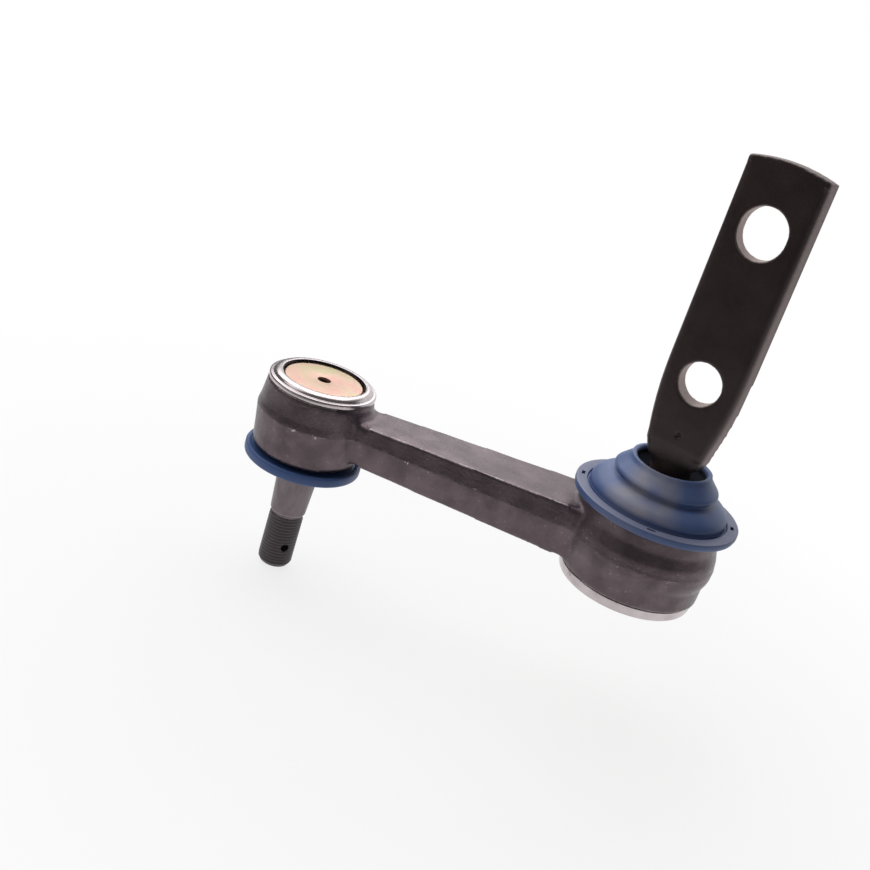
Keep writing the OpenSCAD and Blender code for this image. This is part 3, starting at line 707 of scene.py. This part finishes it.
def studio_paper():
    """White studio paper. It is seen full white, and so is its mirror image in metal, but under the
    arm it keeps a fifth of its own shading, so that the shadow stays."""
    material, tree, coords = new_material("studio_paper")
    ray = add_node(tree, "LightPath").outputs
    mirrored = add_node(
        tree, "Math", {0: ray["Is Glossy Ray"], 1: ray["Is Transmission Ray"]}, operation="MAXIMUM"
    )
    seen = add_node(tree, "Math", {0: ray["Is Camera Ray"], 1: mirrored}, operation="MAXIMUM")
    away = radius_about(tree, coords, (PIVOT + STUD) / 2)
    blank = add_node(tree, "MapRange", {0: away, 1: 0.12, 2: 0.32, 3: 0.8, 4: 1.0})
    share = add_node(tree, "Math", {0: seen, 1: blank}, operation="MULTIPLY")
    matt = add_node(tree, "BsdfDiffuse", {"Color": srgb("f2f2f2")})
    white = add_node(tree, "Emission", {"Color": (1, 1, 1, 1), "Strength": 1.0})
    paper = add_node(tree, "MixShader", {0: share, 1: matt, 2: white})
    add_node(tree, "OutputMaterial", {"Surface": paper})
    return material


# Operators


class IDLER_OT_forging(bpy.types.Operator):
    """Build the arm's forged skin, with its fillets and its trimmed parting line"""

    bl_idname = "idler.forging"
    bl_label = "Forging"

    def execute(self, context):
        s, rims = context.scene.idler_forging, context.scene.idler_rims
        bm = merged_copy("arm_forging")
        stud_cut = stud_at(STUD_LIP_Z - rims.stud_height)
        pivot_cut = pivot_at(PIVOT_LIP_Z + rims.pivot_height)
        cut_off_rim(bm, stud_cut, UP, lambda co: (co - stud_cut).dot(ALONG_ARM) > -STUD_REACH)
        cut_off_rim(bm, pivot_cut, -UP, lambda co: (co - pivot_cut).dot(ALONG_ARM) < PIVOT_REACH)
        bm = forged_skin(bm, "forging_blank", s.grain, s.soften)
        relax(bm, fillet_verts(bm, s), s.fillet)
        seam_reach = 2.2 * MM
        seam = [v for v in bm.verts if abs(v.co.z - parting_height(s)) < seam_reach]
        relax(bm, seam, s.seam_soften)
        raise_flash(bm, s)
        note_wear_and_highlight(bm)
        piece = add_piece(bm, "forging", black_oxide_forging(s), ["arm_forging"])
        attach(piece, "arm")
        return {"FINISHED"}


def cut_off_rim(bm, point, outward, on_boss):
    """Cuts one boss level at a point, drops what lies outward and closes the ring-shaped cut."""
    near = [v for v in bm.verts if on_boss(v.co)]
    edges = {e for v in near for e in v.link_edges}
    faces = {f for v in near for f in v.link_faces}
    geom = [*near, *edges, *faces]
    cut = bmesh.ops.bisect_plane(
        bm, geom=geom, dist=ON_CUT, plane_co=point, plane_no=outward, clear_outer=True
    )
    made = [e for e in cut["geom_cut"] if isinstance(e, bmesh.types.BMEdge)]
    bmesh.ops.bridge_loops(bm, edges=[e for e in made if len(e.link_faces) == 1])
    bmesh.ops.recalc_face_normals(bm, faces=bm.faces)


def parting_height(s):
    """The height of the line where the two halves of the forging die met."""
    return BAR_MIDDLE_Z + s.parting_z


def fillet_verts(bm, s):
    """What lies between a boss and the bar, close to where they meet."""
    bosses = (
        (pivot_at(0), ALONG_ARM, PIVOT_BOSS_R), (stud_at(0), -ALONG_ARM, STUD_BOSS_R),
    )
    found = []
    for vert in bm.verts:
        for axis, away, radius in bosses:
            offset = Vector((vert.co.x, vert.co.y, 0)) - axis
            ahead = offset.dot(away)
            near, far = radius - 0.0015, radius + s.fillet_reach
            if ahead > radius * 0.55 and near < offset.length < far:
                found.append(vert)
                break
    return found


def raise_flash(bm, s):
    """Waves the outer skin a little and raises the trimmed flash along the parting line. The waves
    are about 7 mm long, and the flash is ragged every 4 mm."""
    wave_scale, ragged_scale = 140, 260
    parting = parting_height(s)
    bm.normal_update()
    moves = []
    for vert in bm.verts:
        level = Vector((vert.co.x, vert.co.y, 0))
        in_pivot = (level - pivot_at(0)).length < PIVOT_HOLLOW_R
        in_stud = (level - stud_at(0)).length < STUD_HOLLOW_R
        if in_pivot or in_stud:
            continue
        move = s.waviness * noise.noise(vert.co * wave_scale)
        if abs(vert.normal.z) < 0.6:
            height = (vert.co.z - parting) / s.flash_width
            ragged = 0.65 + 0.9 * noise.noise(vert.co * ragged_scale)
            move += s.flash * max(ragged, 0.1) * math.exp(-height * height)
        moves.append((vert, vert.normal * move))
    for vert, move in moves:
        vert.co += move


class IDLER_OT_rims(bpy.types.Operator):
    """Turn the two bright bands that are rolled over the covers"""

    bl_idname = "idler.rims"
    bl_label = "Rolled rims"

    def execute(self, context):
        s = context.scene.idler_rims
        tall = s.stud_height / MM
        stud_rim = softened([
            (16.25, -tall + 0.6), (16.25, -3.32), (17.70, -3.32), (17.70, -1.12),
            (16.50, -0.95, 0.25), (16.95, -0.05, 0.35), (18.6, 0.0, 0.8), (20.0, -0.75, 0.7),
            (20.35, -1.75, 0.25), (21.65, -1.75, 0.45), (21.85, -2.4), (21.85, -tall + 0.25, 0.2),
            (21.4, -tall + 0.05), (20.4, -tall + 0.6),
        ])
        high = s.pivot_height / MM
        pivot_rim = softened([
            (22.50, high - 0.5), (22.50, 3.82), (23.95, 3.82), (23.95, 1.62),
            (22.10, 1.45, 0.3), (22.40, 0.0, 0.4), (24.9, 0.0, 0.9), (26.6, 0.9, 0.6),
            (27.07, 2.4, 0.6), (27.07, high - 0.3, 0.2), (26.6, high - 0.05),
            (25.6, high - 0.5),
        ])
        for name, outline, base, mouth in (
            ("stud_rolled_rim", stud_rim, stud_at(STUD_LIP_Z), 16.95),
            ("pivot_rolled_rim", pivot_rim, pivot_at(PIVOT_LIP_Z), 22.35),
        ):
            bm = turned(outline, base, 128)
            steel = turned_steel(s, base, mouth, "turned_steel_" + name)
            piece = add_piece(bm, name, steel, ["arm_forging"])
            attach(piece, "arm")
        return {"FINISHED"}


class IDLER_OT_covers(bpy.types.Operator):
    """Press the two plated covers, each with its tapped grease hole"""

    bl_idname = "idler.covers"
    bl_label = "Covers"

    def execute(self, context):
        s = context.scene.idler_rims
        plating = yellow_zinc(s)
        for name, node, base, flip in (
            ("stud_cover_plate", "stud_cover", stud_at(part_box("stud_cover")[1].z), 1),
            ("pivot_cover_plate", "pivot_cover", pivot_at(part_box("pivot_cover")[0].z), -1),
        ):
            low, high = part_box(node)
            thick = (high.z - low.z) / MM
            radius = (high.x - low.x) / 2 / MM
            section = softened([
                (2.7, -thick, 0.15), (2.7, 0.0, 0.35), (radius - 1.8, 0.0, 0.4),
                (radius - 1.5, -0.8, 0.1), (radius, -0.8, 0.1), (radius, -thick, 0.5),
            ])
            outline = [Vector((p.x, flip * p.y)) for p in section]
            bm = turned(outline, base, 96)
            # Marks the cover's sunken ring and its hole for painted shade
            note_gap(bm, lambda co: (base.z - co.z) * flip > 0.5 * MM)
            piece = add_piece(bm, name, plating, [node])
            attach(piece, "arm")
        return {"FINISHED"}


class IDLER_OT_bracket(bpy.types.Operator):
    """Build the bracket's skin, with its sloping foot and its punch mark"""

    bl_idname = "idler.bracket"
    bl_label = "Bracket"

    def execute(self, context):
        s = context.scene.idler_bracket
        bm = forged_skin(merged_copy("bracket"), "bracket_blank", s.grain, s.soften)
        side_x, side_y, top = 10 * MM, -4 * MM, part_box("bracket")[1].z - 4 * MM
        sides = [v for v in bm.verts if abs(v.co.x) > side_x and v.co.y < side_y and v.co.z < top]
        foot_y, foot_low, foot_high = -2 * MM, BOOT_TOP_Z - 8 * MM, -27 * MM
        foot = [v for v in bm.verts if foot_low < v.co.z < foot_high and v.co.y < foot_y]
        relax(bm, sides, s.side_soften)
        relax(bm, foot, 2 * s.side_soften)
        note_wear_and_highlight(bm)
        wear_and_highlight = bm.verts.layers.float["wear_and_highlight"]
        # Low on the plate, the edges get neither rubbed patches nor the painted highlight
        unmarked_below_z = -20 * MM
        for vert in bm.verts:
            if vert.co.z < unmarked_below_z:
                vert[wear_and_highlight] = 0.0

        # The punch mark's dent, which the plate paints dark as painted shade
        def in_mark(co):
            away = math.hypot(co.x, co.z - s.mark_z)
            return co.y < PLATE_FRONT_Y + MM and away < 0.8 * s.mark_r

        note_gap(bm, in_mark)
        for vert in bm.verts:
            mark = math.hypot(vert.co.x, vert.co.z - s.mark_z) / s.mark_r
            if mark < 1 and vert.co.y < PLATE_FRONT_Y + s.mark_depth:
                vert.co.y += s.mark_depth * (1 - mark * mark)
        piece = add_piece(bm, "bracket_skin", black_oxide_plate(s), ["bracket"])
        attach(piece, "bracket")
        return {"FINISHED"}


class IDLER_OT_pivot_boot(bpy.types.Operator):
    """Mould the pivot's boot: a vented flange, a low cone, one convolution and a straight neck"""

    bl_idname = "idler.pivot_boot"
    bl_label = "Pivot boot"

    def execute(self, context):
        s = context.scene.idler_boots
        wall, seal_low = 1.8, 12.9
        bellows = flowing([
            (27.1, 4.3), (26.8, 5.7), (25.4, 7.5), (22.9, 9.1), (20.6, 10.1), (19.3, 10.9),
            (19.9, 11.9), (20.5, 12.9), (20.1, 13.9), (18.9, 15.1), (17.5, 16.5), (16.3, 17.8),
            (15.7, 19.0),
        ])
        flange = softened([
            (17.4, -2.9), (17.4, 0.1), (32.0, 0.05, 0.4), (32.5, 1.5), (32.45, 3.05, 0.3),
            (31.7, 3.1), (30.5, 3.1), (29.2, 3.1), (28.1, 3.1, 0.2), (27.9, 2.1, 0.2),
            (27.1, 2.1, 0.2), (27.1, 4.0, 0.2),
        ])
        neck = [
            (15.6, 19.4), (15.2, 19.6), (14.3, 19.5), (13.8, 19.0), (13.2, 16.6), (10.4, 15.4),
            (8.3, 15.0), (8.0, 14.4), (8.0, 13.0), (8.5, 12.5), (12.0, 12.7),
        ]
        lining = [p for p in reversed(beside(bellows, -wall)) if p.y < seal_low]
        foot = [(16.0, 3.4), (15.6, -2.9)]
        outline = [Vector(p) for p in [*flange[1:], *bellows, *neck, *lining, *foot, flange[0]]]
        bm = turned(outline, Vector(), s.segments)
        notch_flange(bm, s)
        firm, soft_run = 8, 12
        for vert in bm.verts:
            limp = max(vert.co.z / MM - firm, 0) / soft_run
            turn = math.atan2(vert.co.y, vert.co.x)
            vert.co.z += s.lean * limp * math.sin(turn + 0.6)
            vert.co.z += 0.4 * s.lean * limp * math.sin(2 * turn + 1.9)
        bmesh.ops.translate(bm, verts=bm.verts, vec=pivot_at(BOOT_BASE_Z))
        piece = add_piece(bm, "pivot_boot_moulding", blue_rubber(s), ["pivot_boot"])
        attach(piece, "arm")
        return {"FINISHED"}


def notch_flange(bm, s):
    """Sinks the vent notches into one ring of the flange's flat top, each two divisions wide."""
    inner_r, outer_r = 0.0293, 0.0304
    half = math.tau / s.segments * 1.2
    first = math.atan2(-ALONG_ARM.y, -ALONG_ARM.x)
    for i in range(s.vents):
        turn = first + math.tau * i / s.vents
        found = []
        for face in bm.faces:
            place = face.calc_center_median()
            off = (math.atan2(place.y, place.x) - turn + math.pi) % math.tau - math.pi
            away = math.hypot(place.x, place.y)
            if face.normal.z > 0.9 and inner_r < away < outer_r and abs(off) < half:
                found.append(face)
        sunk = bmesh.ops.extrude_face_region(bm, geom=found)["geom"]
        floor = [v for v in sunk if isinstance(v, bmesh.types.BMVert)]
        bmesh.ops.translate(bm, verts=floor, vec=(0, 0, -s.vent_depth))
        bmesh.ops.delete(bm, geom=found, context="FACES_ONLY")
    bmesh.ops.recalc_face_normals(bm, faces=bm.faces)


class IDLER_OT_ball_stud(bpy.types.Operator):
    """Turn the ball stud: half a ball, a neck, a taper and a rolled thread with a cross hole"""

    bl_idname = "idler.ball_stud"
    bl_label = "Ball stud"

    def execute(self, context):
        s = context.scene.idler_stud
        base = stud_at(STUD_TIP_Z)
        thread_top = s.thread_length / MM
        head_top = (STUD_HEAD_Z - STUD_TIP_Z) / MM
        ball_z = next(j for j in frame["joints"] if j["name"] == "stud_tilt")["pos_m"][2]
        centre = (ball_z - STUD_TIP_Z) / MM
        ball, neck, small = s.ball_r / MM, s.neck_r / MM, s.thread_r / MM + 0.25
        flat, steps = 0.55, 10
        rise = math.asin((head_top - centre) / ball)
        fall = math.asin(flat / ball)
        angles = [rise + (fall - rise) * i / steps for i in range(steps + 1)]
        crown = [(ball * math.cos(a), centre + ball * math.sin(a)) for a in angles]
        # The 1:8 taper narrows by 1 mm in radius over 16 mm
        small_z = thread_top + 1.6
        neck_z = small_z + (neck - small) * 16
        root = small - 0.9
        shank = softened([
            (0.0, head_top), *crown, (neck, centre + flat), (neck, neck_z), (small, small_z, 0.3),
            (root, thread_top + 0.5), (root, thread_top - 0.6), (0.0, thread_top - 0.6),
        ])
        bm = turned(shank, Vector(), 96)
        add_thread(bm, s)
        bm = drilled(bm, s)
        bmesh.ops.translate(bm, verts=bm.verts, vec=base)
        piece = add_piece(bm, "ball_stud_turned", stud_steel(s), ["ball_stud"], 34)
        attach(piece, "stud")
        return {"FINISHED"}


def add_thread(bm, s):
    """Adds the thread as one closed screw. A zigzag of ridges makes one full turn while it climbs
    one pitch, so that each ridge joins the next, and two flat cuts close the screw. It is then held
    inside an envelope of (height, radius) points, which rounds the tip."""
    screw = bmesh.new()
    top = s.thread_length
    depth = 0.23 * s.pitch
    steps = 48
    ridge = ((0.0, 0.0), (0.06, 0.0), (0.44, -depth), (0.56, -depth), (0.94, 0.0))
    verts = []
    for turn in range(-2, int(top / s.pitch) + 3):
        for climb, sink in ridge:
            verts.append(screw.verts.new((s.thread_r + sink, 0, (turn + climb) * s.pitch)))
    edges = [screw.edges.new(pair) for pair in zip(verts, verts[1:])]
    bmesh.ops.spin(
        screw, geom=verts + edges, cent=(0, 0, 0), axis=(0, 0, 1), dvec=(0, 0, s.pitch / steps),
        angle=math.tau, steps=steps, use_merge=False,
    )
    bmesh.ops.remove_doubles(screw, verts=screw.verts, dist=2 * WELD)
    for level, outward in ((0.0, -UP), (top, UP)):
        cut = bmesh.ops.bisect_plane(
            screw, geom=screw.verts[:] + screw.edges[:] + screw.faces[:], dist=ON_CUT,
            plane_co=(0, 0, level), plane_no=outward, clear_outer=True,
        )
        ring = [e for e in cut["geom_cut"] if isinstance(e, bmesh.types.BMEdge)]
        bmesh.ops.edgeloop_fill(screw, edges=ring)
    envelope = (
        (0.0, s.thread_r - 0.0026), (0.0007, s.thread_r - 0.0012), (0.0026, s.thread_r),
        (top - 0.001, s.thread_r), (top, s.thread_r - 0.0005),
    )
    for vert in screw.verts:
        height = min(max(vert.co.z, 0.0), top)
        allowed = s.thread_r
        for (z0, r0), (z1, r1) in zip(envelope, envelope[1:]):
            if z0 <= height <= z1:
                allowed = r0 + (r1 - r0) * (height - z0) / (z1 - z0)
        radius = math.hypot(vert.co.x, vert.co.y)
        if radius > allowed:
            vert.co.x *= allowed / radius
            vert.co.y *= allowed / radius
    bmesh.ops.recalc_face_normals(screw, faces=screw.faces)
    mesh = as_mesh(screw, "screw")
    bm.from_mesh(mesh)
    bpy.data.meshes.remove(mesh)


def drilled(bm, s):
    """The stud with its cross hole, cut by a cylinder that is removed again."""
    tool = bmesh.new()
    turn = Matrix.Rotation(s.cross_hole_turn, 4, "Z") @ Matrix.Rotation(math.pi / 2, 4, "Y")
    bmesh.ops.create_cone(
        tool, cap_ends=True, segments=32, radius1=s.cross_hole_r, radius2=s.cross_hole_r,
        depth=4 * s.thread_r, matrix=Matrix.Translation((0, 0, s.cross_hole_rise)) @ turn,
    )
    mesh = as_mesh(tool, "drill")
    drill = add_object("drill", mesh)

    def cross_hole(blank):
        cut = blank.modifiers.new("Cross hole", "BOOLEAN")
        cut.operation = "DIFFERENCE"
        cut.solver = "EXACT"
        cut.use_self = True
        cut.object = drill

    bm = through_modifiers(bm, "stud_blank", cross_hole)
    bpy.data.objects.remove(drill)
    bpy.data.meshes.remove(mesh)
    return bm


class IDLER_OT_stud_boot(bpy.types.Operator):
    """Mould the stud's boot: a stiff ring over a collar that grips the stud"""

    bl_idname = "idler.stud_boot"
    bl_label = "Stud boot"

    def execute(self, context):
        s = context.scene.idler_boots
        top = (STUD_BOOT_TOP_Z - STUD_BOOT_LOW_Z) / MM
        mouth = 13.0
        outline = softened([
            (mouth, top), (mouth + 3.5, top), (mouth + 4.5, top - 1.9, 0.5), (21.6, top - 1.9, 0.3),
            (22.6, top - 1.15, 0.3), (23.7, top - 1.05, 0.4), (24.1, top - 1.9),
            (24.1, top - 4.9, 0.7), (23.2, top - 5.4, 0.4), (mouth + 3.4, top - 5.4, 0.8),
            (12.2, 2.6, 1.4), (10.8, 0.6), (10.4, 0.0, 0.3), (8.98, 0.0, 0.3), (8.98, 2.0),
            (9.9, 2.8), (10.2, top - 4.7), (mouth - 0.4, top - 3.0),
        ])
        bm = turned(outline, stud_at(STUD_BOOT_LOW_Z), s.segments)
        rubber = bpy.data.materials["blue_polyurethane"]
        piece = add_piece(bm, "stud_boot_moulding", rubber, ["stud_boot"])
        # The collar under the ring follows the stud, and what is between them bends
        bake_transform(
            piece, "arm", "half_ball",
            start=stud_at(STUD_BOOT_LOW_Z + 0.0055), end=stud_at(STUD_BOOT_LOW_Z + 0.0015),
        )
        return {"FINISHED"}


class IDLER_OT_inside(bpy.types.Operator):
    """Give each bearing, seat and spring inside the arm its own metal"""

    bl_idname = "idler.inside"
    bl_label = "Inside"

    def execute(self, context):
        finishes = {
            # Sintered iron bearings: grey-brown and dull from their open pores
            ("pivot_upper_bearing", "pivot_thrust_washer", "stud_lower_seat", "stud_pressure_cup"):
                plain_metal("sintered_iron", "8a8078", 0.45, 0.0008),
            # Case-hardened steel, ground and lapped to a fine satin
            ("stud_half_ball",): plain_metal("lapped_steel", "b5b0ac", 0.2, 0.003),
            # Oil-tempered spring steel: dark blue-grey from its drawing and tempering
            ("stud_preload_spring", "pivot_disc_spring"):
                plain_metal("tempered_spring_steel", "6a6a70", 0.32, 0.002),
        }
        for nodes, material in finishes.items():
            for node in nodes:
                mesh = frame["nodes"][node].data
                mesh.materials.clear()
                mesh.materials.append(material)
        return {"FINISHED"}


class IDLER_OT_stage(bpy.types.Operator):
    """Set the white paper, the lamps and the camera"""

    bl_idname = "idler.stage"
    bl_label = "Stage"

    def execute(self, context):
        s = context.scene.idler_stage
        add_paper(s)
        middle_arm = (pivot_at(BAR_MIDDLE_Z) + stud_at(BAR_MIDDLE_Z)) / 2
        over_left, front_left = Vector((-0.25, 0.18, 0.52)), Vector((-0.42, -0.42, 0.46))
        add_lamp("soft_box", middle_arm + over_left, middle_arm, (0.7, 0.85), s.box_power)
        add_lamp("front_fill", middle_arm + front_left, middle_arm, (0.5, 0.5), s.fill_power)
        world = bpy.data.worlds.new("studio_room")
        context.scene.world = world
        world.use_nodes = True
        tree = world.node_tree
        tree.nodes.clear()
        seen = add_node(tree, "LightPath").outputs["Is Camera Ray"]
        strength = add_node(tree, "MapRange", {0: seen, 3: s.room, 4: 1.0})
        room = add_node(tree, "Background", {"Color": (1, 1, 1, 1), "Strength": strength})
        add_node(tree, "OutputWorld", {"Surface": room})
        camera = add_object("camera", bpy.data.cameras.new("camera"))
        camera.data.lens = s.lens
        camera.data.sensor_width = 36
        camera.data.clip_start = 0.01
        camera.rotation_mode = "QUATERNION"
        camera.location = s.eye
        look = (Vector(s.aim) - Vector(s.eye)).to_track_quat("-Z", "Y")
        camera.rotation_quaternion = look @ Quaternion(UP, s.roll)
        context.scene.camera = camera
        context.scene.view_settings.view_transform = "Standard"
        return {"FINISHED"}


def add_paper(s):
    """A sheet that lies half a millimetre under the stud's tip and sweeps up behind the arm."""
    bm = bmesh.new()
    bend, steps = 0.25, 12
    floor = STUD_TIP_Z - 0.0005
    side = [(-s.sheet_front, 0.0), (s.sheet_back - bend, 0.0)]
    for i in range(1, steps + 1):
        a = math.pi / 2 * i / steps
        side.append((s.sheet_back - bend + bend * math.sin(a), bend - bend * math.cos(a)))
    side.append((s.sheet_back, s.sheet_rise))
    verts = [bm.verts.new((PIVOT.x - s.sheet_left, PIVOT.y + y, floor + z)) for y, z in side]
    edges = [bm.edges.new(pair) for pair in zip(verts, verts[1:])]
    swept = bmesh.ops.extrude_edge_only(bm, edges=edges)["geom"]
    far = [v for v in swept if isinstance(v, bmesh.types.BMVert)]
    bmesh.ops.translate(bm, verts=far, vec=(s.sheet_left + s.sheet_right, 0, 0))
    for face in bm.faces:
        face.smooth = True
    mesh = as_mesh(bm, "studio_paper")
    mesh.materials.append(studio_paper())
    add_object("studio_paper", mesh)


def add_lamp(name, place, target, size, power):
    """A flat lamp that faces a target, and isn't seen itself."""
    lamp = bpy.data.lights.new(name, "AREA")
    lamp.shape = "RECTANGLE"
    lamp.size, lamp.size_y = size
    lamp.energy = power
    holder = add_object(name, lamp)
    holder.location = place
    holder.rotation_mode = "QUATERNION"
    holder.rotation_quaternion = (target - place).to_track_quat("-Z", "Y")
    holder.visible_camera = False


OPERATORS = (
    IDLER_OT_forging, IDLER_OT_rims, IDLER_OT_covers, IDLER_OT_bracket, IDLER_OT_pivot_boot,
    IDLER_OT_ball_stud, IDLER_OT_stud_boot, IDLER_OT_inside, IDLER_OT_stage,
)
SETTINGS = {
    "idler_forging": ForgingSettings,
    "idler_rims": RimSettings,
    "idler_bracket": BracketSettings,
    "idler_boots": BootSettings,
    "idler_stud": StudSettings,
    "idler_stage": StageSettings,
}


class IDLER_PT_panel(bpy.types.Panel):
    """The idler arm's pieces, in the order in which they are built"""

    bl_idname = "IDLER_PT_panel"
    bl_label = "Idler Arm"
    bl_space_type = "VIEW_3D"
    bl_region_type = "UI"
    bl_category = "Idler Arm"

    def draw(self, context):
        for operator in OPERATORS:
            self.layout.operator(operator.bl_idname)
        for name, group in SETTINGS.items():
            box = self.layout.box()
            box.label(text=name.replace("idler_", "").capitalize())
            for setting in group.__annotations__:
                box.prop(getattr(context.scene, name), setting)


def register():
    for group in (*SETTINGS.values(), *OPERATORS, IDLER_PT_panel):
        bpy.utils.register_class(group)
    for name, group in SETTINGS.items():
        setattr(bpy.types.Scene, name, PointerProperty(type=group))


def unregister():
    for name in SETTINGS:
        delattr(bpy.types.Scene, name)
    for group in reversed((*SETTINGS.values(), *OPERATORS, IDLER_PT_panel)):
        bpy.utils.unregister_class(group)


def main():
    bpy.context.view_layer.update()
    register()
    for operator in OPERATORS:
        group, name = operator.bl_idname.split(".")
        getattr(getattr(bpy.ops, group), name)()


if __name__ == "__main__":
    main()
